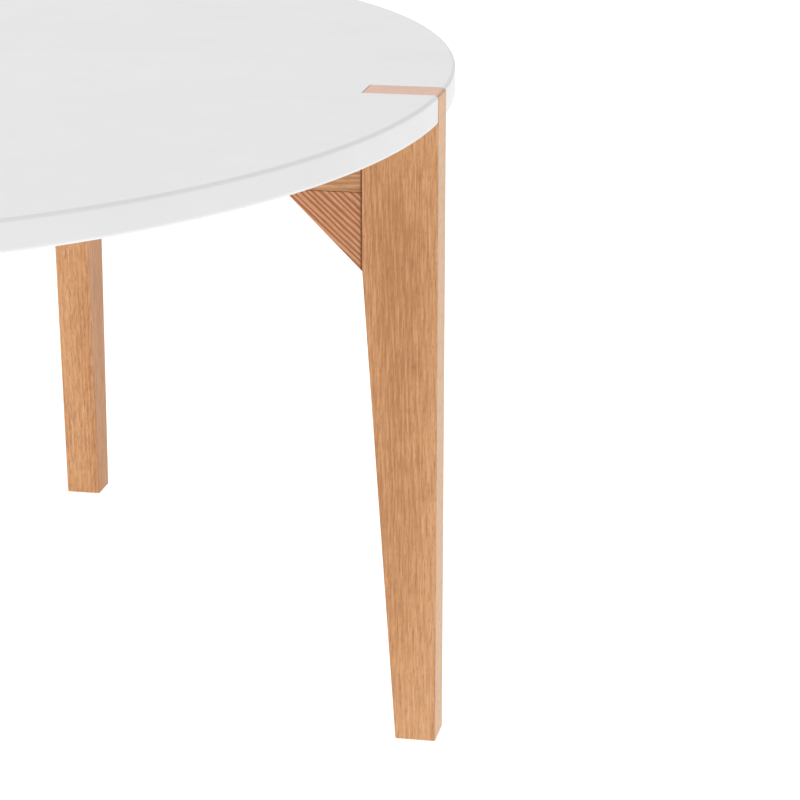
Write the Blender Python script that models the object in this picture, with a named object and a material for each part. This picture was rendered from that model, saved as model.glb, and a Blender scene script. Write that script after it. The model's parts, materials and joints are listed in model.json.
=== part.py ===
"""Oval gateleg table with a fold-over flap, in metres, +Z up.

The origin is on the floor below the centre of the open oval top. The fixed part of the top lies towards +X
and stands on three plank legs whose tops pass through notches in its rim. The flap lies towards -X. It folds
up and over on three brass hinges, and a gate leg swings out from under the fixed part to carry it.
"""

import math

import bmesh
import bpy
from mathutils import Matrix, Vector

# Top: an ellipse with its long axis along Y.
HALF_WIDTH = 0.650
HALF_LENGTH = 0.820
TOP_Z = 0.750
TOP_THICKNESS = 0.0325
EDGE_ROUND = 0.0045
UNDERSIDE_Z = TOP_Z - TOP_THICKNESS
SEAM_X = -0.100
SEAM_GAP = 0.001
OUTLINE_POINTS = 128
ROUND_STEPS = 3

# Clearance left between pieces that touch.
GAP = 0.0003

# Plank legs.
LEG_THICKNESS = 0.047
LEG_TOP_WIDTH = 0.0845
LEG_FOOT_WIDTH = 0.0465
LEG_KINK_Z = 0.551
LEG_BEVEL = 0.0012
GLIDE_RADIUS = 0.016
GLIDE_HEIGHT = 0.002
FOOT_Z = GLIDE_HEIGHT + GAP

# Beams under the top, with a corner gusset at each leg.
BEAM_THICKNESS = 0.037
BEAM_BOTTOM_Z = 0.639
BEAM_TOP_Z = UNDERSIDE_Z - GAP
GUSSET_SIDE = 0.089
CORNER_BLOCK_SIDE = 0.055
CORNER_BLOCK_HEIGHT = 0.045

# Hanger studs with barrel nuts.
STUD_RADIUS = 0.004
STUD_BORE = 0.0043
STUD_LENGTH = 0.080
STUD_IN_LEG = 0.032
STUD_Z = 0.684
NUT_RADIUS = 0.007
NUT_HEIGHT = 0.020
NUT_INSET = 0.036

# Gate, which pivots on a vertical pin beside the cross rail.
PIVOT_X = -0.050
GATE_REACH = 0.555
GATE_TOP_Z = UNDERSIDE_Z - 2 * GAP
POST_SIDE = 0.032
BRACKET_THICKNESS = 0.003
BRACKET_WIDTH = 0.024
BRACKET_REACH = 0.009
POST_TOP_Z = 0.7114
POST_BOTTOM_Z = 0.5986
WASHER_HEIGHT = 0.001
WASHER_RADIUS = 0.009
PIN_RADIUS = 0.004
PIN_BORE = 0.00412
PIN_HEAD_RADIUS = 0.007
PIN_HEAD_HEIGHT = 0.004
UPPER_BRACKET_BOTTOM_Z = 0.700
LOWER_BRACKET_TOP_Z = 0.695

# Fold-over hinges, with the pin's axis just above the top's surface.
HINGE_AXIS_Z = TOP_Z + 0.0005
HINGE_PLACES = (-0.55, 0.0, 0.55)
HINGE_LENGTH = 0.060
HINGE_LEAF_WIDTH = 0.030
HINGE_LEAF_TOP_Z = TOP_Z - 0.0005
HINGE_LEAF_BOTTOM_Z = TOP_Z - 0.0025
KNUCKLE_RADIUS = 0.0029
TONGUE_INSET = 0.0002
KNUCKLE_GAP = 0.0002
HINGE_PIN_RADIUS = 0.0014
HINGE_PIN_BORE = 0.00148
HINGE_POCKET_DEPTH = 0.0029

# Small fittings.
STOP_SIZE = (0.024, 0.024, 0.026)
STOP_X = -0.086
PAD_THICKNESS = 0.002
CATCH_REACH = 0.400
TOP_BRACKET_SIDE = 0.034
TOP_BRACKET_WIDTH = 0.030
SCREW_RADIUS = 0.002
SCREW_HEAD_RADIUS = 0.004
SCREW_LENGTH = 0.018
SCREW_HEAD_HEIGHT = 0.0022

ROUND_SIDES = 24

# What turns on each joint.
GATE_PIECES = (
    "gate_post",
    "gate_beam",
    "gate_leg",
    "gate_gusset",
    "gate_stud",
    "gate_barrel_nut",
    "gate_glide",
    "catch_plate",
)
FLAP_PIECES = ("flap", "hinge_1_flap_leaf", "hinge_2_flap_leaf", "hinge_3_flap_leaf")

WHITE = ("lacquered_board", (0.87, 0.87, 0.86), 0.32, 0.0)
OAK = ("oiled_oak", (0.60, 0.36, 0.19), 0.55, 0.0)
BRASS = ("brushed_brass", (0.72, 0.55, 0.27), 0.32, 1.0)
STEEL = ("zinc_steel", (0.62, 0.63, 0.64), 0.38, 1.0)
NYLON = ("white_nylon", (0.80, 0.79, 0.76), 0.60, 0.0)
FELT = ("grey_felt", (0.33, 0.33, 0.34), 0.95, 0.0)


def clear_scene():
    """Removes every object, so that the model starts from nothing."""
    for obj in list(bpy.data.objects):
        bpy.data.objects.remove(obj)


def material(finish):
    """The Principled material of a finish, made once."""
    name, colour, roughness, metallic = finish
    found = bpy.data.materials.get(name)
    if found:
        return found
    made = bpy.data.materials.new(name)
    made.use_nodes = True
    shader = made.node_tree.nodes["Principled BSDF"]
    shader.inputs["Base Color"].default_value = (*colour, 1.0)
    shader.inputs["Roughness"].default_value = roughness
    shader.inputs["Metallic"].default_value = metallic
    return made


def new_object(name, mesh, finish):
    """Puts a mesh in the scene with its finish."""
    obj = bpy.data.objects.new(name, mesh)
    obj.data.materials.append(material(finish))
    bpy.context.scene.collection.objects.link(obj)
    return obj


def mesh_from(build, name):
    """A mesh filled by a function that works on a bmesh, with its faces turned outwards."""
    mesh = bpy.data.meshes.new(name)
    shape = bmesh.new()
    build(shape)
    bmesh.ops.recalc_face_normals(shape, faces=shape.faces)
    shape.to_mesh(mesh)
    shape.free()
    return mesh


def box(name, low, high, finish):
    """A box from its lowest to its highest corner."""
    low, high = Vector(low), Vector(high)

    def build(shape):
        made = bmesh.ops.create_cube(shape, size=1.0)
        size = high - low
        bmesh.ops.scale(shape, vec=size, verts=made["verts"])
        bmesh.ops.translate(shape, vec=(low + high) / 2, verts=made["verts"])

    return new_object(name, mesh_from(build, name), finish)


def rod(name, start, end, radius, finish):
    """A round rod between two points."""
    start, end = Vector(start), Vector(end)
    along = end - start

    def build(shape):
        made = bmesh.ops.create_cone(
            shape, cap_ends=True, segments=ROUND_SIDES, radius1=radius, radius2=radius, depth=along.length
        )
        turn = along.to_track_quat("Z", "Y").to_matrix().to_4x4()
        place = Matrix.Translation((start + end) / 2) @ turn
        bmesh.ops.transform(shape, matrix=place, verts=made["verts"])

    mesh = mesh_from(build, name)
    mesh.shade_smooth()
    mesh.set_sharp_from_angle(angle=math.radians(35))
    return new_object(name, mesh, finish)


def slab(name, outline, normal, thickness, finish):
    """A flat piece: a closed outline of points, thickened evenly to both sides along its normal."""
    half = Vector(normal) * thickness / 2

    def build(shape):
        face = shape.faces.new([shape.verts.new(Vector(point) - half) for point in outline])
        grown = bmesh.ops.extrude_face_region(shape, geom=[face])
        moved = [item for item in grown["geom"] if isinstance(item, bmesh.types.BMVert)]
        bmesh.ops.translate(shape, vec=half * 2, verts=moved)

    return new_object(name, mesh_from(build, name), finish)


def combine(obj, other, operation):
    """Joins another object to this one or cuts it away, and keeps the other only as a guide."""
    other.hide_render = True
    other.display_type = "WIRE"
    modifier = obj.modifiers.new(operation.lower(), "BOOLEAN")
    modifier.operation = operation
    modifier.solver = "EXACT"
    modifier.object = other


def cut(obj, *cutters):
    """Cuts each cutter away from an object."""
    for cutter in cutters:
        combine(obj, cutter, "DIFFERENCE")


def join(obj, *others):
    """Joins other shapes to an object, so that they make one body."""
    for other in others:
        combine(obj, other, "UNION")


def bevel(obj, width):
    """Breaks an object's sharp edges."""
    modifier = obj.modifiers.new("edge_break", "BEVEL")
    modifier.width = width
    modifier.segments = 1
    modifier.limit_method = "ANGLE"


def oval_board(name):
    """The whole oval top in one piece, with its rim rounded above and below."""
    profile = []
    for step in range(ROUND_STEPS + 1):
        angle = math.pi / 2 * step / ROUND_STEPS
        inset = EDGE_ROUND * (1 - math.sin(angle))
        profile.append((inset, TOP_Z - EDGE_ROUND * (1 - math.cos(angle))))
    for step in range(ROUND_STEPS + 1):
        angle = math.pi / 2 * step / ROUND_STEPS
        inset = EDGE_ROUND * (1 - math.cos(angle))
        profile.append((inset, UNDERSIDE_Z + EDGE_ROUND * (1 - math.sin(angle))))

    def build(shape):
        rings = []
        for inset, height in profile:
            ring = []
            for point in range(OUTLINE_POINTS):
                angle = 2 * math.pi * point / OUTLINE_POINTS
                across = (HALF_WIDTH - inset) * math.cos(angle)
                along = (HALF_LENGTH - inset) * math.sin(angle)
                ring.append(shape.verts.new((across, along, height)))
            rings.append(ring)
        for upper, lower in zip(rings, rings[1:]):
            for point in range(OUTLINE_POINTS):
                after = (point + 1) % OUTLINE_POINTS
                shape.faces.new((upper[point], upper[after], lower[after], lower[point]))
        shape.faces.new(rings[0])
        shape.faces.new(list(reversed(rings[-1])))

    mesh = mesh_from(build, name)
    mesh.shade_smooth()
    mesh.set_sharp_from_angle(angle=math.radians(40))
    return new_object(name, mesh, WHITE)


def leg_outline(outward, reach, top_z):
    """A plank leg's outline in its own upright plane: plumb outer edge, inner edge tapering below the gusset."""
    outward = Vector(outward)
    corners = (
        (0.0, FOOT_Z),
        (LEG_FOOT_WIDTH, FOOT_Z),
        (LEG_TOP_WIDTH, LEG_KINK_Z),
        (LEG_TOP_WIDTH, top_z),
        (0.0, top_z),
    )
    return [outward * (reach - inward) + Vector((0, 0, height)) for inward, height in corners]


def across(outward):
    """The level direction at right angles to a leg's outward direction."""
    return Vector(outward).cross(Vector((0, 0, 1)))


def plank_leg(name, outward, reach, top_z, offset=Vector()):
    """A plank leg that stands in the plane of its outward direction."""
    outline = [point + offset for point in leg_outline(outward, reach, top_z)]
    leg = slab(name, outline, across(outward), LEG_THICKNESS, OAK)
    bevel(leg, LEG_BEVEL)
    return leg


def gusset(name, outward, reach, offset=Vector()):
    """A triangular corner piece below a beam's end, against a leg's inner edge."""
    outward = Vector(outward)
    inner = reach - LEG_TOP_WIDTH - GAP
    top = BEAM_BOTTOM_Z - GAP
    corners = ((inner, top), (inner, top - GUSSET_SIDE), (inner - GUSSET_SIDE, top))
    outline = [outward * distance + Vector((0, 0, height)) + offset for distance, height in corners]
    return slab(name, outline, across(outward), BEAM_THICKNESS, OAK)


def stud_and_nut(name, leg, beam, outward, reach, offset=Vector()):
    """A stud screwed into a leg, with the barrel nut in the beam that it draws up to, and their bores."""
    outward = Vector(outward)
    inner = reach - LEG_TOP_WIDTH
    level = Vector((0, 0, STUD_Z)) + offset
    start = outward * (inner + STUD_IN_LEG) + level
    end = start - outward * STUD_LENGTH
    rod(f"{name}_stud", start, end, STUD_RADIUS, STEEL)
    bore = rod(f"{name}_stud_bore", start + outward * GAP, end - outward * GAP, STUD_BORE, STEEL)
    cut(leg, bore)
    cut(beam, bore)
    centre = outward * (inner - NUT_INSET) + level
    half = Vector((0, 0, NUT_HEIGHT / 2))
    nut = rod(f"{name}_barrel_nut", centre - half, centre + half, NUT_RADIUS, STEEL)
    cut(nut, bore)
    well_top = Vector((centre.x, centre.y, TOP_Z))
    well = rod(f"{name}_nut_well", centre - half * 1.03, well_top, NUT_RADIUS + GAP, STEEL)
    cut(beam, well)


def glide(name, outward, reach, offset=Vector()):
    """A nylon disc below the middle of a leg's foot."""
    foot = Vector(outward) * (reach - LEG_FOOT_WIDTH / 2) + offset
    rod(name, foot, foot + Vector((0, 0, GLIDE_HEIGHT)), GLIDE_RADIUS, NYLON)


def build_tops():
    """The fixed part and the flap, cut from one oval along the seam. It returns both."""
    fixed = oval_board("fixed_top")
    flap = oval_board("flap")
    far = 2 * HALF_LENGTH
    seam_low = (-far, -far, 0)
    cut(fixed, box("flap_side", seam_low, (SEAM_X + SEAM_GAP / 2, far, 2 * TOP_Z), WHITE))
    cut(flap, box("fixed_side", (SEAM_X - SEAM_GAP / 2, -far, 0), (far, far, 2 * TOP_Z), WHITE))
    return fixed, flap


def leg_notch(name, outward, reach):
    """The cutter for the notch in the rim that a leg's top passes through."""
    outward = Vector(outward)
    inner = reach - LEG_TOP_WIDTH - GAP
    outer = reach + EDGE_ROUND * 5
    side = across(outward) * (LEG_THICKNESS / 2 + GAP)
    corners = (
        outward * inner - side + Vector((0, 0, BEAM_BOTTOM_Z)),
        outward * outer + side + Vector((0, 0, TOP_Z + EDGE_ROUND)),
    )
    low = [min(corner[axis] for corner in corners) for axis in range(3)]
    high = [max(corner[axis] for corner in corners) for axis in range(3)]
    return box(name, low, high, OAK)


def build_frame(fixed):
    """The three fixed legs, their beams and gussets, and what joins them."""
    half = BEAM_THICKNESS / 2
    rail_end = HALF_LENGTH - LEG_TOP_WIDTH - GAP
    rail = box("cross_rail", (-half, -rail_end, BEAM_BOTTOM_Z), (half, rail_end, BEAM_TOP_Z), OAK)
    beam_end = HALF_WIDTH - LEG_TOP_WIDTH - GAP
    beam = box("apex_beam", (half + GAP, -half, BEAM_BOTTOM_Z), (beam_end, half, BEAM_TOP_Z), OAK)
    places = (
        ("apex", (1, 0, 0), HALF_WIDTH, beam),
        ("left", (0, 1, 0), HALF_LENGTH, rail),
        ("right", (0, -1, 0), HALF_LENGTH, rail),
    )
    for name, outward, reach, carrier in places:
        leg = plank_leg(f"{name}_leg", outward, reach, TOP_Z)
        gusset(f"{name}_gusset", outward, reach)
        stud_and_nut(name, leg, carrier, outward, reach)
        glide(f"{name}_glide", outward, reach)
        cut(fixed, leg_notch(f"{name}_notch", outward, reach))
    for name, side in (("left", 1), ("right", -1)):
        corner = Vector((half + GAP, side * (half + GAP), BEAM_TOP_Z - CORNER_BLOCK_HEIGHT / 2))
        outline = (
            corner,
            corner + Vector((CORNER_BLOCK_SIDE, 0, 0)),
            corner + Vector((0, side * CORNER_BLOCK_SIDE, 0)),
        )
        slab(f"{name}_corner_block", outline, (0, 0, 1), CORNER_BLOCK_HEIGHT, OAK)


def build_pivot():
    """The steel brackets, washers and pin that the gate turns on. It returns the pin's bore."""
    half = BEAM_THICKNESS / 2
    face = -half - GAP
    width = BRACKET_WIDTH / 2
    reach = PIVOT_X - BRACKET_REACH
    upper_z = POST_TOP_Z + WASHER_HEIGHT + 2 * GAP
    lower_z = POST_BOTTOM_Z - WASHER_HEIGHT - 2 * GAP - BRACKET_THICKNESS
    places = (
        ("upper", upper_z, UPPER_BRACKET_BOTTOM_Z, upper_z + BRACKET_THICKNESS, POST_TOP_Z + GAP),
        ("lower", lower_z, lower_z, LOWER_BRACKET_TOP_Z, POST_BOTTOM_Z - GAP - WASHER_HEIGHT),
    )
    bore = rod("pivot_bore", (PIVOT_X, 0, 0), (PIVOT_X, 0, TOP_Z), PIN_BORE, STEEL)
    for name, shelf_z, low_z, high_z, washer_z in places:
        bracket = box(
            f"{name}_pivot_bracket",
            (reach, -width, shelf_z),
            (face, width, shelf_z + BRACKET_THICKNESS),
            STEEL,
        )
        flange_low = (face - BRACKET_THICKNESS, -width, low_z)
        join(bracket, box(f"{name}_flange", flange_low, (face, width, high_z), STEEL))
        cut(bracket, bore)
        washer_low = (PIVOT_X, 0, washer_z)
        washer_high = (PIVOT_X, 0, washer_z + WASHER_HEIGHT)
        washer = rod(f"{name}_pivot_washer", washer_low, washer_high, WASHER_RADIUS, NYLON)
        cut(washer, bore)
    pin_top = (PIVOT_X, 0, upper_z + BRACKET_THICKNESS)
    head_top = lower_z - GAP
    pin = rod("pivot_pin", (PIVOT_X, 0, head_top - PIN_HEAD_HEIGHT / 2), pin_top, PIN_RADIUS, STEEL)
    head_low = (PIVOT_X, 0, head_top - PIN_HEAD_HEIGHT)
    join(pin, rod("pivot_pin_head", head_low, (PIVOT_X, 0, head_top), PIN_HEAD_RADIUS, STEEL))
    return bore


def build_gate(bore):
    """The gate in its open place: post, beam, gusset and leg, all turning together on the pivot pin."""
    pivot = Vector((PIVOT_X, 0, 0))
    outward = (-1, 0, 0)
    side = POST_SIDE / 2
    post = box(
        "gate_post", (PIVOT_X - side, -side, POST_BOTTOM_Z), (PIVOT_X + side, side, POST_TOP_Z), OAK
    )
    bevel(post, LEG_BEVEL)
    cut(post, bore)
    half = BEAM_THICKNESS / 2
    inner_end = PIVOT_X - side - GAP
    outer_end = PIVOT_X - GATE_REACH + LEG_TOP_WIDTH + GAP
    beam = box("gate_beam", (outer_end, -half, BEAM_BOTTOM_Z), (inner_end, half, GATE_TOP_Z), OAK)
    leg = plank_leg("gate_leg", outward, GATE_REACH, GATE_TOP_Z, pivot)
    gusset("gate_gusset", outward, GATE_REACH, pivot)
    stud_and_nut("gate", leg, beam, outward, GATE_REACH, pivot)
    glide("gate_glide", outward, GATE_REACH, pivot)


def hinge_leaf(name, place, side, own_spans, bore):
    """One brass hinge leaf with its knuckles. Side is 1 on the fixed part and -1 on the flap."""
    half = HINGE_LENGTH / 2
    clear = KNUCKLE_RADIUS + 2 * GAP
    xs = sorted((SEAM_X + side * clear, SEAM_X + side * HINGE_LEAF_WIDTH))
    leaf = box(
        name,
        (xs[0], place - half, HINGE_LEAF_BOTTOM_Z),
        (xs[1], place + half, HINGE_LEAF_TOP_Z),
        BRASS,
    )
    for index, (start, end) in enumerate(own_spans):
        near, far = place + start, place + end
        xs = sorted((SEAM_X + side * TONGUE_INSET, SEAM_X + side * 2.1 * KNUCKLE_RADIUS))
        tongue = box(
            f"{name}_tongue_{index}",
            (xs[0], near + TONGUE_INSET, HINGE_LEAF_BOTTOM_Z + TONGUE_INSET),
            (xs[1], far - TONGUE_INSET, HINGE_LEAF_TOP_Z - TONGUE_INSET),
            BRASS,
        )
        knuckle = rod(
            f"{name}_knuckle_{index}",
            (SEAM_X, near, HINGE_AXIS_Z),
            (SEAM_X, far, HINGE_AXIS_Z),
            KNUCKLE_RADIUS,
            BRASS,
        )
        join(leaf, tongue, knuckle)
    cut(leaf, bore)


def build_hinges(fixed, flap):
    """The three fold-over hinges, and the pockets that they lie in."""
    half = HINGE_LENGTH / 2
    third = HINGE_LENGTH / 6
    for index, place in enumerate(HINGE_PLACES, start=1):
        name = f"hinge_{index}"
        reach = HINGE_LEAF_WIDTH + GAP
        pocket = box(
            f"{name}_pocket",
            (SEAM_X - reach, place - half - GAP, TOP_Z - HINGE_POCKET_DEPTH),
            (SEAM_X + reach, place + half + GAP, TOP_Z + EDGE_ROUND),
            BRASS,
        )
        cut(fixed, pocket)
        cut(flap, pocket)
        low = (SEAM_X, place - HINGE_LENGTH, HINGE_AXIS_Z)
        high = (SEAM_X, place + HINGE_LENGTH, HINGE_AXIS_Z)
        bore = rod(f"{name}_bore", low, high, HINGE_PIN_BORE, BRASS)
        outer_spans = ((-half, -third - KNUCKLE_GAP), (third + KNUCKLE_GAP, half))
        hinge_leaf(f"{name}_fixed_leaf", place, 1, outer_spans, bore)
        hinge_leaf(f"{name}_flap_leaf", place, -1, ((-third, third),), bore)
        rod(
            f"{name}_pin",
            (SEAM_X, place - half, HINGE_AXIS_Z),
            (SEAM_X, place + half, HINGE_AXIS_Z),
            HINGE_PIN_RADIUS,
            STEEL,
        )


def build_stop():
    """The block below the fixed part that the open gate rests against, with a felt pad on its face."""
    length, depth, height = STOP_SIZE
    beam_face = -BEAM_THICKNESS / 2 - GAP
    pad_back = beam_face - PAD_THICKNESS
    top = UNDERSIDE_Z - GAP
    box(
        "gate_stop",
        (STOP_X - length / 2, pad_back - GAP - depth, top - height),
        (STOP_X + length / 2, pad_back - GAP, top),
        OAK,
    )
    box(
        "gate_stop_pad",
        (STOP_X - length / 2, pad_back, top - height),
        (STOP_X + length / 2, beam_face, top),
        FELT,
    )


def build_catch():
    """The magnet on the cross rail and the plate on the gate that hold the gate shut."""
    half = BEAM_THICKNESS / 2
    plate_face = half + GAP + 0.001
    magnet_low = (PIVOT_X + plate_face + GAP, CATCH_REACH - 0.015, 0.660)
    box("catch_magnet", magnet_low, (-half - GAP, CATCH_REACH + 0.015, 0.690), STEEL)
    plate_x = PIVOT_X - CATCH_REACH
    box("catch_plate", (plate_x - 0.012, half + GAP, 0.665), (plate_x + 0.012, plate_face, 0.685), STEEL)


def top_bracket(name, corner, out, along, fixed):
    """An angle bracket in the corner between a beam's side and the top, with the screw that goes up."""
    corner, out, along = Vector(corner), Vector(out), Vector(along)
    wide = along * TOP_BRACKET_WIDTH / 2
    thick = BRACKET_THICKNESS

    def plate(part, start, end):
        low = [min(start[axis], end[axis]) for axis in range(3)]
        high = [max(start[axis], end[axis]) for axis in range(3)]
        return box(part, low, high, STEEL)

    down = Vector((0, 0, -1))
    bracket = plate(name, corner - wide, corner + wide + out * TOP_BRACKET_SIDE + down * thick)
    join(bracket, plate(f"{name}_drop", corner - wide, corner + wide + out * thick + down * TOP_BRACKET_SIDE))
    head_at = corner + out * TOP_BRACKET_SIDE * 0.6 + down * (thick + GAP + SCREW_HEAD_HEIGHT)
    up = Vector((0, 0, 1))
    screw = rod(f"{name}_screw", head_at, head_at + up * SCREW_HEAD_HEIGHT, SCREW_HEAD_RADIUS, STEEL)
    tip = head_at + up * SCREW_LENGTH
    join(screw, rod(f"{name}_screw_shank", head_at + up * GAP, tip, SCREW_RADIUS, STEEL))
    hole = rod(f"{name}_screw_hole", head_at + up * GAP, tip + up * GAP, SCREW_RADIUS + GAP, STEEL)
    cut(bracket, hole)
    cut(fixed, hole)


def build_top_brackets(fixed):
    """The four brackets that hold the fixed part down on the beams."""
    side = BEAM_THICKNESS / 2 + GAP
    top = UNDERSIDE_Z - GAP
    top_bracket("top_bracket_1", (0.36, side, top), (0, 1, 0), (1, 0, 0), fixed)
    top_bracket("top_bracket_2", (0.36, -side, top), (0, -1, 0), (1, 0, 0), fixed)
    top_bracket("top_bracket_3", (side, 0.48, top), (1, 0, 0), (0, 1, 0), fixed)
    top_bracket("top_bracket_4", (side, -0.48, top), (1, 0, 0), (0, 1, 0), fixed)


def carry(name, place, pieces):
    """Puts an empty on a joint's axis and parents the pieces that turn about it."""
    empty = bpy.data.objects.new(name, None)
    empty.location = place
    bpy.context.scene.collection.objects.link(empty)
    for piece in pieces:
        obj = bpy.data.objects[piece]
        obj.parent = empty
        obj.matrix_parent_inverse = Matrix.Translation(place).inverted()


clear_scene()
fixed_top, folding_flap = build_tops()
build_frame(fixed_top)
pivot_bore = build_pivot()
build_gate(pivot_bore)
build_hinges(fixed_top, folding_flap)
build_stop()
build_catch()
build_top_brackets(fixed_top)
carry("gate_axis", (PIVOT_X, 0, BEAM_BOTTOM_Z), GATE_PIECES)
carry("flap_axis", (SEAM_X, 0, HINGE_AXIS_Z), FLAP_PIECES)
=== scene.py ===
"""Dresses the oval gateleg table and lights it in a plain white studio. Metres, +Z up."""

import json
import logging
import math
from dataclasses import dataclass
from enum import Enum
from typing import Callable, Iterable, Protocol

import bmesh
import bpy
from mathutils import Matrix, Vector

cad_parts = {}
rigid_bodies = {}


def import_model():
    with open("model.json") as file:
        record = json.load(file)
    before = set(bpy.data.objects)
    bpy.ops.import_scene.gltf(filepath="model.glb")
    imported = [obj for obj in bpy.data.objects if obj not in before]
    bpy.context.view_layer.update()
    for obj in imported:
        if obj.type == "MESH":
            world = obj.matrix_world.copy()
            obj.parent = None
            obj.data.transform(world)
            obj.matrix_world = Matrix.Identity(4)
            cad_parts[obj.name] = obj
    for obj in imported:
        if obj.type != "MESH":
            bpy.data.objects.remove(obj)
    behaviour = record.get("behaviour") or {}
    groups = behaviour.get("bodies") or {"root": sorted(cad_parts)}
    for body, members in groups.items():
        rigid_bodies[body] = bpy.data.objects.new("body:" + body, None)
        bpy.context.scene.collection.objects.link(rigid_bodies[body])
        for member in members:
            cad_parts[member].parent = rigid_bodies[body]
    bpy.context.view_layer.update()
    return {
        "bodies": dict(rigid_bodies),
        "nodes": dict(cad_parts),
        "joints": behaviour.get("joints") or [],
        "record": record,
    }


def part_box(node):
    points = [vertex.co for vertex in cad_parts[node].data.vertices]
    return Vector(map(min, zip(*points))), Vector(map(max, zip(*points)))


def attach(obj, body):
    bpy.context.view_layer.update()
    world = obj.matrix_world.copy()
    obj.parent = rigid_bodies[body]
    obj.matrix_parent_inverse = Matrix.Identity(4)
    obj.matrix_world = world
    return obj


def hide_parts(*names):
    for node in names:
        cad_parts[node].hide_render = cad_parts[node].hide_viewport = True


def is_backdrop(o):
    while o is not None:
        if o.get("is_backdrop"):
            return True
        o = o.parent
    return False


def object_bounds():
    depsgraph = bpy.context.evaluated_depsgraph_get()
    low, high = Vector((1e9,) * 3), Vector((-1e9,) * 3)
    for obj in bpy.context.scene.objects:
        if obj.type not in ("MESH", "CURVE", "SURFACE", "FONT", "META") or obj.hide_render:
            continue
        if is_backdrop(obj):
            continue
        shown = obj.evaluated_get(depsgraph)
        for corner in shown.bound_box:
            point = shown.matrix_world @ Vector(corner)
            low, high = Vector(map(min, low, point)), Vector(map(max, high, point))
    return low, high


log = logging.getLogger("gateleg_table")

Point = tuple[float, float, float]
Colour = tuple[float, float, float]

# Two places nearer than this, in metres, are one.
SAME_PLACE = 1e-4
MERGE_WITHIN = 1e-5

# Edges sharper than these are shaded as creases, rounded on planks, and rounded on copied pieces.
CREASE = math.radians(38)
PLANK_EDGE = math.radians(30)
COPY_EDGE = math.radians(40)
FLAT_WITHIN = math.radians(2)
SHORTEST_ROUNDED_EDGE = 0.02
TOOL_MARGIN = 0.01


class Body(Enum):
    """The bodies that the table's pieces ride on."""

    FRAME = "frame"
    LEAF = "leaf"
    GATE = "gate"


class Slot(Enum):
    """The finishes' names in the table's record."""

    WHITE = "white_lacquer"
    LEG = "leg_oak"
    BEAM = "beam_oak"
    GUSSET = "gusset_oak"


class Finish(Protocol):
    """Anything that can make a material, and is known by its name."""

    name: str

    def make(self) -> bpy.types.Material:
        """The finish as a material."""


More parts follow.
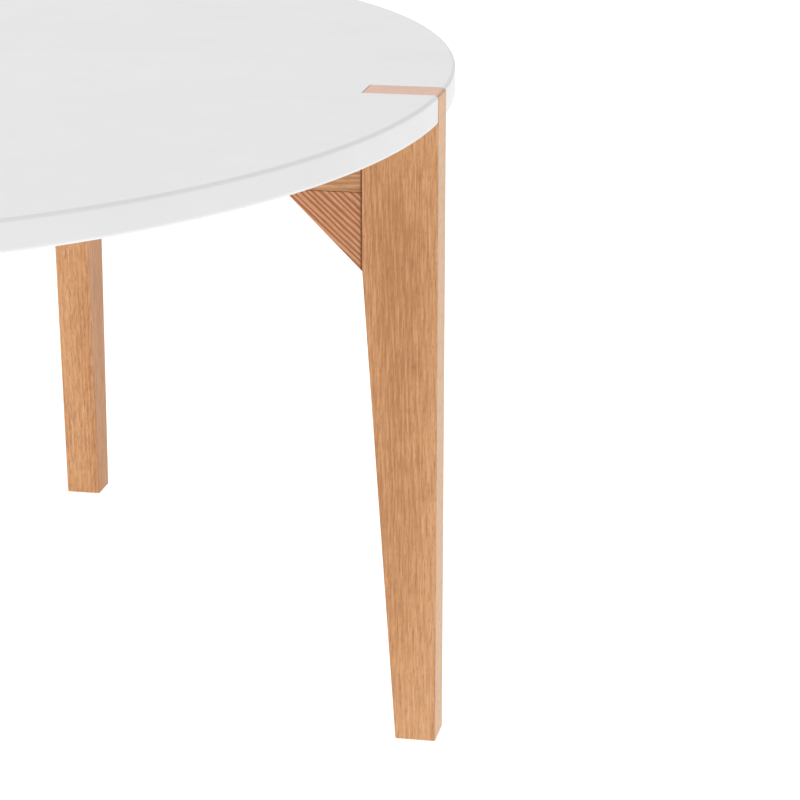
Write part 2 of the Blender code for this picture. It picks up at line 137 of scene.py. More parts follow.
class Nodes:
    """A short way to write a material's node tree."""

    def __init__(self, name: str) -> None:
        """Starts a material.

        Args:
            name: the material's name.
        """
        self.material = bpy.data.materials.new(name)
        self.material.use_nodes = True
        self.tree = self.material.node_tree
        self.shader = self.tree.nodes["Principled BSDF"]

    def add(self, kind: str, **settings: object) -> bpy.types.Node:
        """Adds a node.

        Args:
            kind: the node's type, without its ShaderNode prefix.
            settings: properties to set on the node.

        Returns:
            The new node.
        """
        node = self.tree.nodes.new(f"ShaderNode{kind}")
        for name, value in settings.items():
            setattr(node, name, value)
        return node

    def link(self, source: bpy.types.NodeSocket, target: bpy.types.NodeSocket) -> None:
        """Joins an output to an input."""
        self.tree.links.new(source, target)

    def object_place(self) -> bpy.types.NodeSocket:
        """The place on the piece itself, in metres, which moves with the piece."""
        return self.add("TexCoord").outputs["Object"]

    def moved(
        self,
        source: bpy.types.NodeSocket,
        turn: Point = (0, 0, 0),
        scale: Point = (1, 1, 1),
        shift: Point = (0, 0, 0),
    ) -> bpy.types.NodeSocket:
        """Turns, stretches and shifts a place.

        Args:
            source: the place to change.
            turn: angles about X, Y and Z in radians.
            scale: factors along X, Y and Z.
            shift: distance to move by.

        Returns:
            The changed place.
        """
        node = self.add("Mapping")
        node.inputs["Rotation"].default_value = turn
        node.inputs["Scale"].default_value = scale
        node.inputs["Location"].default_value = shift
        self.link(source, node.inputs["Vector"])
        return node.outputs["Vector"]

    def noise(self, place: bpy.types.NodeSocket, scale: float, detail: float = 4.0) -> bpy.types.NodeSocket:
        """Cloudy noise from 0 to 1.

        Args:
            place: where it is sampled.
            scale: how many lumps there are to a metre.
            detail: how many finer layers it has.

        Returns:
            The noise's value.
        """
        node = self.add("TexNoise")
        node.inputs["Scale"].default_value = scale
        node.inputs["Detail"].default_value = detail
        self.link(place, node.inputs["Vector"])
        return node.outputs["Fac"]

    def spread(
        self,
        source: bpy.types.NodeSocket,
        low: float,
        high: float,
        new_low: float = 0.0,
        new_high: float = 1.0,
    ) -> bpy.types.NodeSocket:
        """Stretches a range of values over a new range, and holds it at the ends.

        Args:
            source: the value to change.
            low: the value that becomes new_low.
            high: the value that becomes new_high.
            new_low: the new range's start.
            new_high: the new range's end.

        Returns:
            The changed value.
        """
        node = self.add("MapRange")
        node.inputs["From Min"].default_value = low
        node.inputs["From Max"].default_value = high
        node.inputs["To Min"].default_value = new_low
        node.inputs["To Max"].default_value = new_high
        self.link(source, node.inputs["Value"])
        return node.outputs["Result"]

    def math(
        self, operation: str, first: bpy.types.NodeSocket, second: bpy.types.NodeSocket | float
    ) -> bpy.types.NodeSocket:
        """Works out one sum.

        Args:
            operation: the sum's name, such as MULTIPLY.
            first: its first value.
            second: its second value.

        Returns:
            The result.
        """
        node = self.add("Math", operation=operation)
        self.link(first, node.inputs[0])
        if isinstance(second, (int, float)):
            node.inputs[1].default_value = second
        else:
            self.link(second, node.inputs[1])
        return node.outputs["Value"]

    def ramp(
        self, source: bpy.types.NodeSocket, stops: Iterable[tuple[float, Colour]]
    ) -> bpy.types.NodeSocket:
        """Turns a value into a colour.

        Args:
            source: the value, from 0 to 1.
            stops: each place from 0 to 1 with its colour, in order.

        Returns:
            The colour.
        """
        node = self.add("ValToRGB")
        stops = list(stops)
        elements = node.color_ramp.elements
        while len(elements) < len(stops):
            elements.new(0.5)
        for element, (place, colour) in zip(elements, stops):
            element.position = place
            element.color = (*colour, 1.0)
        self.link(source, node.inputs["Fac"])
        return node.outputs["Color"]

    def blend(
        self,
        factor: bpy.types.NodeSocket,
        first: bpy.types.NodeSocket,
        second: bpy.types.NodeSocket | Colour,
        kind: str = "MIX",
    ) -> bpy.types.NodeSocket:
        """Mixes two colours.

        Args:
            factor: how much of the second shows.
            first: the first colour.
            second: the second colour.
            kind: how they are mixed.

        Returns:
            The mixed colour.
        """
        node = self.add("Mix", data_type="RGBA", blend_type=kind)
        self.link(factor, node.inputs["Factor"])
        self.link(first, node.inputs["A"])
        if isinstance(second, tuple):
            node.inputs["B"].default_value = (*second, 1.0)
        else:
            self.link(second, node.inputs["B"])
        return node.outputs["Result"]

    def faces_towards(self, direction: Point) -> bpy.types.NodeSocket:
        """1 on faces of the piece that look along a direction, and 0 on the others.

        Args:
            direction: the direction, fixed to the piece.

        Returns:
            The value.
        """
        node = self.add("VectorMath", operation="DOT_PRODUCT")
        self.link(self.add("TexCoord").outputs["Normal"], node.inputs[0])
        node.inputs[1].default_value = direction
        return self.spread(node.outputs["Value"], 0.72, 0.86)

    def reach_along(self, direction: Point) -> bpy.types.NodeSocket:
        """How far a place on the piece lies along a direction, in metres.

        Args:
            direction: the direction, fixed to the piece.

        Returns:
            The distance.
        """
        node = self.add("VectorMath", operation="DOT_PRODUCT")
        self.link(self.object_place(), node.inputs[0])
        node.inputs[1].default_value = direction
        return node.outputs["Value"]

    def bump(self, height: bpy.types.NodeSocket, strength: float, distance: float) -> None:
        """Raises and lowers the surface.

        Args:
            height: the height's pattern, from 0 to 1.
            strength: how much of it shows, from 0 to 1.
            distance: its full height in metres.
        """
        node = self.add("Bump")
        node.inputs["Strength"].default_value = strength
        node.inputs["Distance"].default_value = distance
        self.link(height, node.inputs["Height"])
        self.link(node.outputs["Normal"], self.shader.inputs["Normal"])

    def colour(self, source: bpy.types.NodeSocket) -> None:
        """Sets the surface's colour."""
        self.link(source, self.shader.inputs["Base Color"])

    def roughness(self, source: bpy.types.NodeSocket) -> None:
        """Sets the surface's roughness."""
        self.link(source, self.shader.inputs["Roughness"])


@dataclass(frozen=True)
class WhiteLacquer:
    """Sprayed satin lacquer: nearly even, with a faint orange peel and softer rubbed patches."""

    name: str = "satin_white_lacquer"
    colour: Colour = (0.85, 0.85, 0.855)
    shaded: Colour = (0.825, 0.825, 0.83)
    gloss: tuple[float, float] = (0.34, 0.44)
    peel_lumps: float = 420.0

    def make(self) -> bpy.types.Material:
        """The finish as a material."""
        nodes = Nodes(self.name)
        place = nodes.object_place()
        patches = nodes.noise(place, 7.0, 3.0)
        nodes.colour(nodes.ramp(patches, ((0.3, self.shaded), (0.7, self.colour))))
        rubbed = nodes.noise(place, 24.0, 5.0)
        nodes.roughness(nodes.spread(rubbed, 0.3, 0.7, *self.gloss))
        nodes.bump(nodes.noise(place, self.peel_lumps, 2.0), 0.06, 0.0002)
        nodes.shader.inputs["Coat Weight"].default_value = 0.12
        nodes.shader.inputs["Coat Roughness"].default_value = 0.22
        return nodes.material


@dataclass(frozen=True)
class OiledOak:
    """Oak with its grain along one direction: bands of growth, fine fibres and short dark pores; it can also
    carry painted light on chosen faces and painted shadow lines where it meets a leg.
    """

    name: str
    grain: Point
    dark: Colour = (0.485, 0.215, 0.082)
    middle: Colour = (0.650, 0.330, 0.148)
    light: Colour = (0.765, 0.435, 0.225)
    pore: Colour = (0.30, 0.125, 0.05)
    # Painted light: each direction with the paler colour given to the faces that look that way.
    painted_light_faces: tuple[tuple[Point, Colour], ...] = ()
    # Painted shadow: each direction towards a leg with the distance at which the piece ends, and the width and
    # colour of the dark line painted there.
    joint_shadow_ends: tuple[tuple[Point, float], ...] = ()
    joint_shadow_width: float = 0.0032
    joint_shadow_colour: Colour = (0.16, 0.055, 0.022)
    drift_lumps: float = 9.0
    drift_length: float = 0.22
    fibre_lumps: float = 560.0
    fibre_length: float = 0.05
    vessel_lumps: float = 520.0
    vessel_length: float = 0.10
    pore_lumps: float = 980.0
    pore_length: float = 0.12
    band_lumps: float = 95.0
    band_share: float = 0.07
    vessel_share: float = 0.46
    pore_share: float = 0.44
    shift: float = 0.0

    def make(self) -> bpy.types.Material:
        """The finish as a material."""
        nodes = Nodes(self.name)
        upright = Vector((0.0, 0.0, 1.0))
        turn = tuple(Vector(self.grain).rotation_difference(upright).to_euler())
        offset = (self.shift, self.shift * 1.7, self.shift * 3.1)
        along = nodes.moved(nodes.object_place(), turn=turn, shift=offset)

        drift = nodes.noise(nodes.moved(along, scale=(1.0, 1.0, self.drift_length)), self.drift_lumps, 3.0)
        bands = nodes.add("TexWave", wave_type="BANDS", bands_direction="DIAGONAL", wave_profile="SIN")
        bands.inputs["Scale"].default_value = self.band_lumps
        bands.inputs["Distortion"].default_value = 5.5
        bands.inputs["Detail"].default_value = 3.0
        bands.inputs["Detail Scale"].default_value = 0.55
        nodes.link(nodes.moved(along, scale=(1.0, 0.7, 0.045)), bands.inputs["Vector"])
        fibres = nodes.noise(nodes.moved(along, scale=(1.0, 1.0, self.fibre_length)), self.fibre_lumps, 6.0)

        growth = nodes.math("MULTIPLY", bands.outputs["Fac"], self.band_share)
        fibre_part = nodes.math("MULTIPLY", fibres, 0.62)
        drift_part = nodes.math("MULTIPLY", drift, 0.62)
        tone = nodes.math("ADD", nodes.math("ADD", growth, fibre_part), drift_part)
        centre = 0.62 + self.band_share / 2
        spread = 0.14 + self.band_share / 2
        stops = ((centre - spread, self.dark), (centre, self.middle), (centre + spread, self.light))
        wood = nodes.ramp(tone, stops)

        # Painted light: faces that look along each direction are made paler.
        for face, painted_light_colour in self.painted_light_faces:
            factor = nodes.math("MULTIPLY", nodes.faces_towards(face), 0.72)
            wood = nodes.blend(factor, wood, painted_light_colour)

        vessels = nodes.noise(nodes.moved(along, scale=(1.0, 1.0, self.vessel_length)), self.vessel_lumps, 2.0)
        vessel_marks = nodes.spread(vessels, 0.56, 0.72)
        wood = nodes.blend(nodes.math("MULTIPLY", vessel_marks, self.vessel_share), wood, self.pore)
        pores = nodes.noise(nodes.moved(along, scale=(1.0, 1.0, self.pore_length)), self.pore_lumps, 2.0)
        pore_marks = nodes.spread(pores, 0.56, 0.68)
        wood = nodes.blend(nodes.math("MULTIPLY", pore_marks, self.pore_share), wood, self.pore)

        # Painted shadow: a dark line across each end where the piece meets a leg, standing in for the shade in
        # the joint.
        for direction, distance in self.joint_shadow_ends:
            reach = nodes.reach_along(direction)
            painted_shadow = nodes.spread(reach, distance - self.joint_shadow_width, distance - self.joint_shadow_width * 0.55)
            wood = nodes.blend(nodes.math("MULTIPLY", painted_shadow, 0.85), wood, self.joint_shadow_colour)
        nodes.colour(wood)
        nodes.roughness(nodes.spread(fibres, 0.3, 0.7, 0.46, 0.62))
        height = nodes.math("SUBTRACT", nodes.math("MULTIPLY", fibres, 0.5), pore_marks)
        nodes.bump(height, 0.30, 0.0003)
        nodes.shader.inputs["Specular IOR Level"].default_value = 0.38
        return nodes.material


@dataclass(frozen=True)
class BrushedMetal:
    """Metal with fine scratches along one direction."""

    name: str
    colour: Colour
    tarnish: Colour
    brushing: Point = (0.0, 1.0, 0.0)
    gloss: tuple[float, float] = (0.26, 0.42)

    def make(self) -> bpy.types.Material:
        """The finish as a material."""
        nodes = Nodes(self.name)
        turn = tuple(Vector(self.brushing).rotation_difference(Vector((0.0, 0.0, 1.0))).to_euler())
        place = nodes.moved(nodes.object_place(), turn=turn)
        scratches = nodes.noise(nodes.moved(place, scale=(1.0, 1.0, 0.02)), 2600.0, 4.0)
        stains = nodes.noise(place, 120.0, 4.0)
        nodes.colour(nodes.ramp(stains, ((0.35, self.tarnish), (0.65, self.colour))))
        nodes.roughness(nodes.spread(scratches, 0.3, 0.7, *self.gloss))
        nodes.bump(scratches, 0.12, 0.00005)
        nodes.shader.inputs["Metallic"].default_value = 1.0
        return nodes.material


@dataclass(frozen=True)
class MouldedNylon:
    """Matte white plastic with a fine moulded texture and scuffs."""

    name: str = "moulded_nylon"
    colour: Colour = (0.78, 0.77, 0.74)
    scuffed: Colour = (0.70, 0.69, 0.66)

    def make(self) -> bpy.types.Material:
        """The finish as a material."""
        nodes = Nodes(self.name)
        place = nodes.object_place()
        scuffs = nodes.noise(place, 160.0, 5.0)
        nodes.colour(nodes.ramp(scuffs, ((0.35, self.scuffed), (0.6, self.colour))))
        nodes.roughness(nodes.spread(scuffs, 0.3, 0.7, 0.5, 0.66))
        nodes.bump(nodes.noise(place, 2200.0, 2.0), 0.15, 0.0001)
        return nodes.material


@dataclass(frozen=True)
class PressedFelt:
    """Grey felt: a dense tangle of short fibres."""

    name: str = "pressed_felt"
    light: Colour = (0.42, 0.42, 0.43)
    dark: Colour = (0.24, 0.24, 0.25)

    def make(self) -> bpy.types.Material:
        """The finish as a material."""
        nodes = Nodes(self.name)
        tangle = nodes.noise(nodes.object_place(), 1500.0, 8.0)
        nodes.colour(nodes.ramp(tangle, ((0.3, self.dark), (0.7, self.light))))
        nodes.roughness(nodes.spread(tangle, 0.3, 0.7, 0.88, 0.98))
        nodes.bump(tangle, 0.6, 0.0005)
        nodes.shader.inputs["Sheen Weight"].default_value = 0.4
        return nodes.material


class Workshop:
    """Makes meshes and pieces, and dresses the carried-over nodes."""

    def __init__(self, frame: dict) -> None:
        """Keeps the loaded frame.

        Args:
            frame: what the frame's load call returned.
        """
        self.nodes: dict[str, bpy.types.Object] = frame["nodes"]
        self.made: dict[str, bpy.types.Material] = {}

    def material(self, finish: Finish) -> bpy.types.Material:
        """A finish's material, made once.

        Args:
            finish: the finish, known by its name.

        Returns:
            Its material.
        """
        if finish.name not in self.made:
            self.made[finish.name] = finish.make()
        return self.made[finish.name]

    def dress(self, node: str, finish: Finish) -> None:
        """Gives a carried-over node a better material.

        Args:
            node: the node's name.
            finish: its finish.
        """
        obj = self.nodes[node]
        material = self.material(finish)
        for slot in obj.material_slots:
            slot.material = material
        if not obj.material_slots:
            obj.data.materials.append(material)

    def mesh(self, name: str, build: Callable[[bmesh.types.BMesh], None]) -> bpy.types.Mesh:
        """A mesh filled by a function.

        Args:
            name: the mesh's name.
            build: the function that fills it.

        Returns:
            The mesh, with its faces turned outwards.
        """
        mesh = bpy.data.meshes.new(name)
        shape = bmesh.new()
        build(shape)
        bmesh.ops.recalc_face_normals(shape, faces=shape.faces)
        shape.to_mesh(mesh)
        shape.free()
        return mesh

    def piece(
        self, name: str, mesh: bpy.types.Mesh, node: str, body: Body, slot: Slot, finish: Finish
    ) -> None:
        """Puts a new piece in the place of a node.

        Args:
            name: the piece's name.
            mesh: its mesh, in place.
            node: the node that it stands for.
            body: the body that it rides on.
            slot: the record's slot that its finish belongs to; not used.
            finish: its finish.
        """
        mesh.materials.clear()
        mesh.materials.append(self.material(finish))
        mesh.shade_smooth()
        mesh.set_sharp_from_angle(angle=CREASE)
        obj = bpy.data.objects.new(name, mesh)
        bpy.context.scene.collection.objects.link(obj)
        weighted = obj.modifiers.new("flat_faces", "WEIGHTED_NORMAL")
        weighted.keep_sharp = True
        weighted.weight = 100
        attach(obj, body.value)
        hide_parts(node)

    def cut_away(self, mesh: bpy.types.Mesh, tools: Iterable[bpy.types.Mesh]) -> bpy.types.Mesh:
        """Cuts tool shapes away, and keeps only the result.

        Args:
            mesh: the shape to cut.
            tools: the mesh of each tool.

        Returns:
            The cut mesh.
        """
        scene = bpy.context.scene.collection.objects
        blank = bpy.data.objects.new("blank", mesh)
        scene.link(blank)
        shapes = []
        for tool_mesh in tools:
            tool = bpy.data.objects.new("tool", tool_mesh)
            scene.link(tool)
            shapes.append(tool)
            modifier = blank.modifiers.new("cut", "BOOLEAN")
            modifier.operation = "DIFFERENCE"
            modifier.solver = "EXACT"
            modifier.object = tool
        bpy.context.view_layer.update()
        graph = bpy.context.evaluated_depsgraph_get()
        result = bpy.data.meshes.new_from_object(blank.evaluated_get(graph))
        for shape in [blank, *shapes]:
            bpy.data.objects.remove(shape)
        return result

    def box(self, low: Vector, high: Vector) -> bpy.types.Mesh:
        """A box as a mesh.

        Args:
            low: its lowest corner.
            high: its highest corner.

        Returns:
            The mesh.
        """

        def build(shape: bmesh.types.BMesh) -> None:
            """Fills the mesh with the box.

            Args:
                shape: the mesh to fill.
            """
            made = bmesh.ops.create_cube(shape, size=1.0)
            bmesh.ops.scale(shape, vec=high - low, verts=made["verts"])
            bmesh.ops.translate(shape, vec=(low + high) / 2, verts=made["verts"])

        return self.mesh("box", build)

    def eased_copy(self, node: str, width: float, segments: int) -> bpy.types.Mesh:
        """A node's shape with its sharp edges finely rounded.

        Args:
            node: the node's name.
            width: the rounding's width in metres.
            segments: how many faces the rounding has.

        Returns:
            The mesh.
        """
        source = self.nodes[node].data

        def build(shape: bmesh.types.BMesh) -> None:
            """Fills the mesh with the rounded copy.

            Args:
                shape: the mesh to fill.
            """
            shape.from_mesh(source)
            bmesh.ops.remove_doubles(shape, verts=shape.verts, dist=MERGE_WITHIN)
            bmesh.ops.dissolve_limit(
                shape, angle_limit=FLAT_WITHIN, verts=shape.verts, edges=shape.edges
            )
            sharp = [e for e in shape.edges if e.is_manifold and e.calc_face_angle(0.0) > COPY_EDGE]
            long_enough = [e for e in sharp if e.calc_length() > SHORTEST_ROUNDED_EDGE]
            bmesh.ops.bevel(
                shape, geom=long_enough, offset=width, segments=segments, profile=0.5, affect="EDGES"
            )

        return self.mesh(f"{node}_eased", build)


@dataclass
class OvalTop:
    """The lacquered top in its two parts: the fixed part, notched for three legs, and the folding flap."""

    workshop: Workshop
    points: int = 512
    steps: int = 8
    edge_round: float = 0.0045
    clearance: float = 0.0003
    leaf_pocket: float = 0.0029
    lacquer: WhiteLacquer = WhiteLacquer()

    def build(self) -> None:
        """Builds and dresses both parts."""
        fixed_low, fixed_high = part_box("fixed_top")
        flap_low, flap_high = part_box("flap")
        half_width = fixed_high[0]
        half_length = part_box("left_leg")[1][1]
        top, underside = fixed_high[2], fixed_low[2]
        seam = {"fixed_top": fixed_low[0], "flap": flap_high[0]}
        far = 2 * half_length

        beyond = self.workshop.box(Vector((-far, -far, 0)), Vector((seam["fixed_top"], far, 2 * top)))
        notches = [self.notch(leg, top) for leg in ("apex_leg", "left_leg", "right_leg")]
        board = self.board("fixed_top", half_width, half_length, top, underside)
        fixed = self.workshop.cut_away(board, [beyond, *notches, *self.pockets(top)])
        self.place(fixed, "fixed_top", Body.FRAME)

        beyond = self.workshop.box(Vector((seam["flap"], -far, 0)), Vector((far, far, 2 * top)))
        board = self.board("flap", half_width, half_length, top, underside)
        flap = self.workshop.cut_away(board, [beyond, *self.pockets(top)])
        self.place(flap, "flap", Body.LEAF)

    def place(self, mesh: bpy.types.Mesh, node: str, body: Body) -> None:
        """Puts one part in the place of its node."""
        self.workshop.piece(f"{node}_board", mesh, node, body, Slot.WHITE, self.lacquer)

    def board(
        self, name: str, half_width: float, half_length: float, top: float, underside: float
    ) -> bpy.types.Mesh:
        """The whole oval with a rounded rim.

        Args:
            name: the mesh's name.
            half_width: half of the oval's short axis, along X.
            half_length: half of its long axis, along Y.
            top: the height of its upper face.
            underside: the height of its lower face.

        Returns:
            The mesh.
        """
        profile = []
        for step in range(self.steps + 1):
            angle = math.pi / 2 * step / self.steps
            inset = self.edge_round * (1 - math.sin(angle))
            profile.append((inset, top - self.edge_round * (1 - math.cos(angle))))
        for step in range(self.steps + 1):
            angle = math.pi / 2 * step / self.steps
            inset = self.edge_round * (1 - math.cos(angle))
            profile.append((inset, underside + self.edge_round * (1 - math.sin(angle))))

        def build(shape: bmesh.types.BMesh) -> None:
            """Fills the mesh with the rings of the rim and both faces.

            Args:
                shape: the mesh to fill.
            """
            rings = []
            for inset, height in profile:
                ring = []
                for point in range(self.points):
                    angle = 2 * math.pi * point / self.points
                    x = (half_width - inset) * math.cos(angle)
                    y = (half_length - inset) * math.sin(angle)
                    ring.append(shape.verts.new((x, y, height)))
                rings.append(ring)
            for upper, lower in zip(rings, rings[1:]):
                for point in range(self.points):
                    after = (point + 1) % self.points
                    shape.faces.new((upper[point], upper[after], lower[after], lower[point]))
            shape.faces.new(rings[0])
            shape.faces.new(list(reversed(rings[-1])))

        return self.workshop.mesh(f"{name}_board", build)

    def notch(self, leg: str, top: float) -> bpy.types.Mesh:
        """The tool for the notch that a leg's top stands in.

        Args:
            leg: the leg's node.
            top: the height of the top's upper face.

        Returns:
            The tool's mesh.
        """
        low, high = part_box(leg)
        low, high = Vector(low), Vector(high)
        gap = Vector((self.clearance, self.clearance, 0))
        low, high = low - gap, high + gap
        low.z, high.z = top / 2, top + TOOL_MARGIN
        axis = 0 if leg == "apex_leg" else 1
        if high[axis] > abs(low[axis]):
            high[axis] += 2 * TOOL_MARGIN
        else:
            low[axis] -= 2 * TOOL_MARGIN
        return self.workshop.box(low, high)

    def pockets(self, top: float) -> list[bpy.types.Mesh]:
        """The tools for all three hinges' pockets."""
        return [self.pocket(number, top) for number in (1, 2, 3)]

    def pocket(self, number: int, top: float) -> bpy.types.Mesh:
        """The tool for the shallow pocket of one hinge.

        Args:
            number: the hinge's number.
            top: the height of the top's upper face.

        Returns:
            The tool's mesh.
        """
        fixed_low, fixed_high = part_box(f"hinge_{number}_fixed_leaf")
        flap_low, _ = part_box(f"hinge_{number}_flap_leaf")
        gap = self.clearance
        low = Vector((flap_low[0] - gap, fixed_low[1] - gap, top - self.leaf_pocket))
        high = Vector((fixed_high[0] + gap, fixed_high[1] + gap, top + TOOL_MARGIN))
        return self.workshop.box(low, high)


@dataclass
class PlankLeg:
    """One oak plank leg: plumb outside, tapering inside below its gusset, with softly eased edges, and painted
    light on its outer edge face and its top end.
    """

    workshop: Workshop
    node: str
    outward: Point
    body: Body
    shift: float
    foot_width: float = 0.0465
    kink_height: float = 0.551
    ease: float = 0.0013
    segments: int = 3
    crown_round: float = 0.0045
    # Painted light: the outer edge face is coloured paler, as if lit more than the broad faces.
    lit_edge_colour: Colour = (0.850, 0.570, 0.365)
    # The top end: the end grain's own pinker tone, made paler with painted light.
    end_grain_and_lit_colour: Colour = (0.920, 0.640, 0.530)

    def build(self) -> None:
        """Builds and dresses the leg."""
        low, high = (Vector(corner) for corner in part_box(self.node))
        outward = Vector(self.outward)
        side = outward.cross(Vector((0, 0, 1)))
        centre = (low + high) / 2
        size = high - low
        width = abs(size.dot(outward))
        thick = abs(size.dot(side))
        outer = centre + outward * width / 2
        outline = []
        for inward, height in (
            (0.0, low.z),
            (self.foot_width, low.z),
            (width, self.kink_height),
            (width, high.z),
            (0.0, high.z),
        ):
            corner = outer - outward * inward
            corner.z = height
            outline.append(corner)

        def fill(shape: bmesh.types.BMesh) -> None:
            """Fills the mesh with the plank and rounds its edges.

            Args:
                shape: the mesh to fill.
            """
            half = side * thick / 2
            face = shape.faces.new([shape.verts.new(corner - half) for corner in outline])
            grown = bmesh.ops.extrude_face_region(shape, geom=[face])
            moved = [item for item in grown["geom"] if isinstance(item, bmesh.types.BMVert)]
            bmesh.ops.translate(shape, vec=half * 2, verts=moved)
            crown = outline[-1]
            corner = [
                e for e in shape.edges if all((v.co - crown).cross(side).length < SAME_PLACE for v in e.verts)
            ]
            bmesh.ops.bevel(
                shape, geom=corner, offset=self.crown_round, segments=8, profile=0.5, affect="EDGES"
            )
            bmesh.ops.recalc_face_normals(shape, faces=shape.faces)
            sharp = [e for e in shape.edges if e.calc_face_angle(0.0) > PLANK_EDGE]
            bmesh.ops.bevel(
                shape, geom=sharp, offset=self.ease, segments=self.segments, profile=0.5, affect="EDGES"
            )

        oak = OiledOak(
            f"{self.node}_oak",
            (0, 0, 1),
            painted_light_faces=((tuple(outward), self.lit_edge_colour), ((0, 0, 1), self.end_grain_and_lit_colour)),
            shift=self.shift,
        )
        mesh = self.workshop.mesh(f"{self.node}_plank", fill)
        self.workshop.piece(f"{self.node}_plank", mesh, self.node, self.body, Slot.LEG, oak)


@dataclass
class Underframe:
    """The beams, gussets and blocks below the top, each with its own run of grain."""

    workshop: Workshop
    ease: float = 0.0009

    def build(self) -> None:
        """Builds and dresses every wooden piece that isn't a leg."""
        self.beam("apex_beam", (1, 0, 0), Body.FRAME, 0.31, ((1, 0, 0),))
        self.beam("cross_rail", (0, 1, 0), Body.FRAME, 0.57, ((0, 1, 0), (0, -1, 0)))
        self.beam("gate_beam", (1, 0, 0), Body.GATE, 0.83, ((-1, 0, 0),))
        self.beam("gate_post", (0, 0, 1), Body.GATE, 1.07)
        self.beam("gate_stop", (1, 0, 0), Body.FRAME, 1.31)
        self.beam("left_corner_block", (0, 0, 1), Body.FRAME, 1.49)
        self.beam("right_corner_block", (0, 0, 1), Body.FRAME, 1.73)
        self.gusset("apex_gusset", (-1, 0, 1), Body.FRAME, 0.21)
        self.gusset("gate_gusset", (1, 0, 1), Body.GATE, 0.43)
        self.gusset("left_gusset", (0, -1, 1), Body.FRAME, 0.67)
        self.gusset("right_gusset", (0, 1, 1), Body.FRAME, 0.91)

    def joints(self, node: str, directions: Iterable[Point]) -> tuple[tuple[Point, float], ...]:
        """Where a piece meets its legs, which is where its painted shadow lines go.

        Args:
            node: the piece's node.
            directions: the directions towards its legs.

        Returns:
            Each direction with the distance along it at which the piece ends.
        """
        corners = [Vector(corner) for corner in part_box(node)]
        return tuple((way, max(corner.dot(Vector(way)) for corner in corners)) for way in directions)

    def beam(self, node: str, grain: Point, body: Body, shift: float, legs: tuple[Point, ...] = ()) -> None:
        """One straight piece.

        Args:
            node: its node.
            grain: the direction of its grain.
            body: the body that it rides on.
            shift: where in the log its pattern starts.
            legs: the directions in which it meets a leg, and gets a painted shadow line at its end.
        """
        mesh = self.workshop.eased_copy(node, self.ease, 3)
        oak = OiledOak(
            f"{node}_oak",
            grain,
            dark=(0.400, 0.185, 0.075),
            middle=(0.535, 0.275, 0.125),
            light=(0.660, 0.375, 0.195),
            # Painted shadow lines at the ends that meet the legs.
            joint_shadow_ends=self.joints(node, legs),
            band_share=0.34,
            shift=shift,
        )
        self.workshop.piece(f"{node}_wood", mesh, node, body, Slot.BEAM, oak)

    def gusset(self, node: str, grain: Point, body: Body, shift: float) -> None:
        """One corner gusset, redder and boldly striped along its slant.

        Args:
            node: its node.
            grain: the direction of its grain.
            body: the body that it rides on.
            shift: where in the log its pattern starts.
        """
        mesh = self.workshop.eased_copy(node, self.ease, 3)
        oak = OiledOak(
            f"{node}_oak",
            grain,
            dark=(0.310, 0.105, 0.040),
            middle=(0.480, 0.195, 0.085),
            light=(0.640, 0.315, 0.160),
            # Painted shadow: a dark line at the end that meets the leg.
            joint_shadow_ends=self.joints(node, ((-grain[0], -grain[1], 0),)),
            band_lumps=120.0,
            band_share=0.62,
            shift=shift,
        )
        self.workshop.piece(f"{node}_wood", mesh, node, body, Slot.GUSSET, oak)


@dataclass
class Fittings:
    """The metal, nylon and felt fittings, which keep their shapes and get their finishes."""

    workshop: Workshop
    brass: BrushedMetal = BrushedMetal("brushed_brass", (0.74, 0.57, 0.29), (0.66, 0.48, 0.22))
    zinc: BrushedMetal = BrushedMetal("zinc_plate", (0.64, 0.65, 0.66), (0.55, 0.56, 0.57), gloss=(0.3, 0.48))
    nylon: MouldedNylon = MouldedNylon()
    felt: PressedFelt = PressedFelt()

    def build(self) -> None:
        """Dresses every fitting."""
        for number in (1, 2, 3):
            self.workshop.dress(f"hinge_{number}_fixed_leaf", self.brass)
            self.workshop.dress(f"hinge_{number}_flap_leaf", self.brass)
            self.workshop.dress(f"hinge_{number}_pin", self.zinc)
        for place in ("apex", "left", "right", "gate"):
            self.workshop.dress(f"{place}_stud", self.zinc)
            self.workshop.dress(f"{place}_barrel_nut", self.zinc)
            self.workshop.dress(f"{place}_glide", self.nylon)
        for number in (1, 2, 3, 4):
            self.workshop.dress(f"top_bracket_{number}", self.zinc)
            self.workshop.dress(f"top_bracket_{number}_screw", self.zinc)
        for end in ("upper", "lower"):
            self.workshop.dress(f"{end}_pivot_bracket", self.zinc)
            self.workshop.dress(f"{end}_pivot_washer", self.nylon)
        for node in ("pivot_pin", "catch_magnet", "catch_plate"):
            self.workshop.dress(node, self.zinc)
        self.workshop.dress("gate_stop_pad", self.felt)


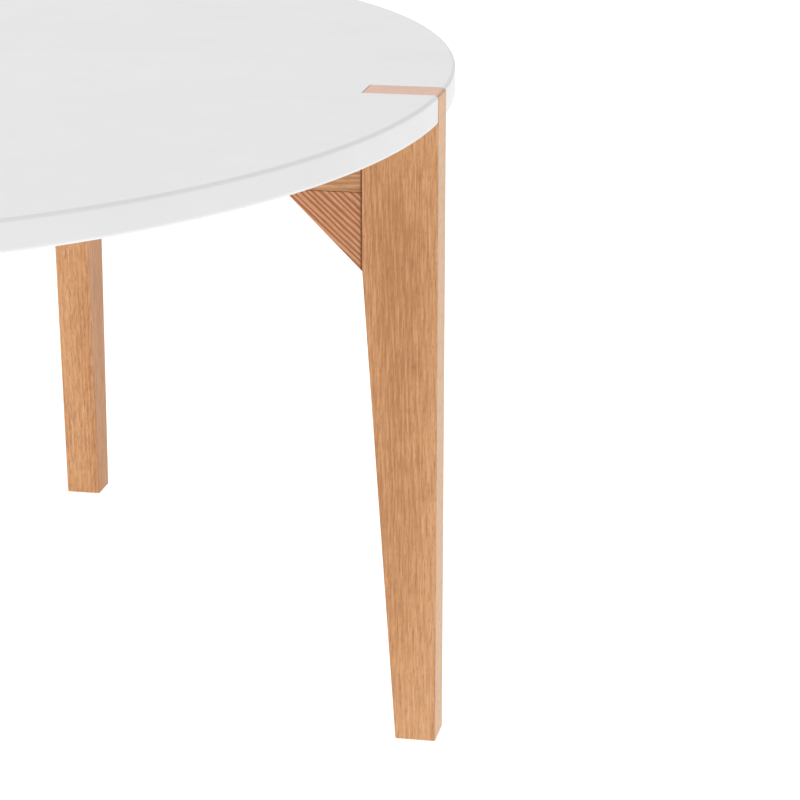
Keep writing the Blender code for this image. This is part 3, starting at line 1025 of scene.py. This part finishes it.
@dataclass
class Studio:
    """A plain white floor, soft lights and a camera that looks past the apex leg."""

    floor_side: float = 60.0
    floor_glow: float = 1.0
    floor_shade: float = 0.25
    sky_left: float = 1.24
    sky_right: float = 0.50
    lens: float = 134.7
    eye_height: float = 1.350
    eye_back: float = 3.147
    eye_aside: float = 0.538
    heading: float = 10.515
    pitch: float = 16.53
    roll: float = 0.14

    def build(self) -> None:
        """Builds the floor, the lights and the camera."""
        self.lay_floor()
        self.light()
        self.look()

    def lay_floor(self) -> None:
        """Lays the floor."""
        mesh = bpy.data.meshes.new("floor")
        half = self.floor_side / 2
        corners = [(-half, -half, 0), (half, -half, 0), (half, half, 0), (-half, half, 0)]
        mesh.from_pydata(corners, [], [(0, 1, 2, 3)])
        nodes = Nodes("studio_floor")
        shade = self.floor_shade
        nodes.shader.inputs["Base Color"].default_value = (shade, shade, shade, 1.0)
        nodes.shader.inputs["Roughness"].default_value = 0.9
        nodes.shader.inputs["Specular IOR Level"].default_value = 0.0
        nodes.shader.inputs["Emission Color"].default_value = (1.0, 1.0, 1.0, 1.0)
        nodes.shader.inputs["Emission Strength"].default_value = self.floor_glow
        mesh.materials.append(nodes.material)
        floor = bpy.data.objects.new("floor", mesh)
        bpy.context.scene.collection.objects.link(floor)
        floor.location.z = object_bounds()[0][2] - 0.0002
        floor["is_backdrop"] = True

    def light(self) -> None:
        """Sets the sky, dimmer on the right, and two broad soft boxes."""
        world = bpy.data.worlds.new("studio")
        world.use_nodes = True
        background = world.node_tree.nodes["Background"]
        background.inputs["Color"].default_value = (1.0, 1.0, 1.0, 1.0)
        tree = world.node_tree
        place = tree.nodes.new("ShaderNodeTexCoord")
        split = tree.nodes.new("ShaderNodeSeparateXYZ")
        strength = tree.nodes.new("ShaderNodeMapRange")
        strength.inputs["From Min"].default_value = -1.0
        strength.inputs["From Max"].default_value = 1.0
        strength.inputs["To Min"].default_value = self.sky_left
        strength.inputs["To Max"].default_value = self.sky_right
        tree.links.new(place.outputs["Generated"], split.inputs["Vector"])
        tree.links.new(split.outputs["X"], strength.inputs["Value"])
        tree.links.new(strength.outputs["Result"], background.inputs["Strength"])
        bpy.context.scene.world = world
        bpy.context.scene.view_settings.view_transform = "Standard"
        self.soft_box("key_light", (-2.8, -2.6, 2.6), 7.0, 2.2)
        self.soft_box("top_light", (-1.2, -1.0, 3.4), 2.0, 2.0)

    def soft_box(self, name: str, place: Point, power: float, side: float) -> None:
        """One square light that faces the table.

        Args:
            name: its name.
            place: where it hangs.
            power: its power in watts.
            side: the length of its side in metres.
        """
        data = bpy.data.lights.new(name, "AREA")
        data.energy = power
        data.size = side
        light = bpy.data.objects.new(name, data)
        light.location = place
        light.rotation_euler = (Vector((0.3, 0.0, 0.5)) - Vector(place)).to_track_quat("-Z", "Y").to_euler()
        bpy.context.scene.collection.objects.link(light)

    def look(self) -> None:
        """Places the camera, measured from the apex leg."""
        leg_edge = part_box("apex_leg")[1][0]
        data = bpy.data.cameras.new("camera")
        data.lens = self.lens
        data.sensor_width = 36.0
        camera = bpy.data.objects.new("camera", data)
        turn = (
            Matrix.Rotation(math.radians(self.heading), 4, "Z")
            @ Matrix.Rotation(math.radians(90 - self.pitch), 4, "X")
            @ Matrix.Rotation(math.radians(self.roll), 4, "Z")
        )
        place = Matrix.Translation((leg_edge + self.eye_aside, -self.eye_back, self.eye_height))
        camera.matrix_world = place @ turn
        bpy.context.scene.collection.objects.link(camera)
        bpy.context.scene.camera = camera


def main() -> None:
    """Builds every part of the table and its studio, in order."""
    logging.basicConfig(level=logging.INFO, format="%(name)s: %(message)s")
    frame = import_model()
    workshop = Workshop(frame)
    parts = (
        OvalTop(workshop),
        PlankLeg(workshop, "apex_leg", (1, 0, 0), Body.FRAME, 0.0),
        PlankLeg(workshop, "left_leg", (0, 1, 0), Body.FRAME, 0.37),
        PlankLeg(workshop, "right_leg", (0, -1, 0), Body.FRAME, 0.71),
        PlankLeg(workshop, "gate_leg", (-1, 0, 0), Body.GATE, 1.13),
        Underframe(workshop),
        Fittings(workshop),
        Studio(),
    )
    for part in parts:
        part.build()
        log.info("built %s %s", type(part).__name__, getattr(part, "node", ""))


if __name__ == "__main__":
    main()
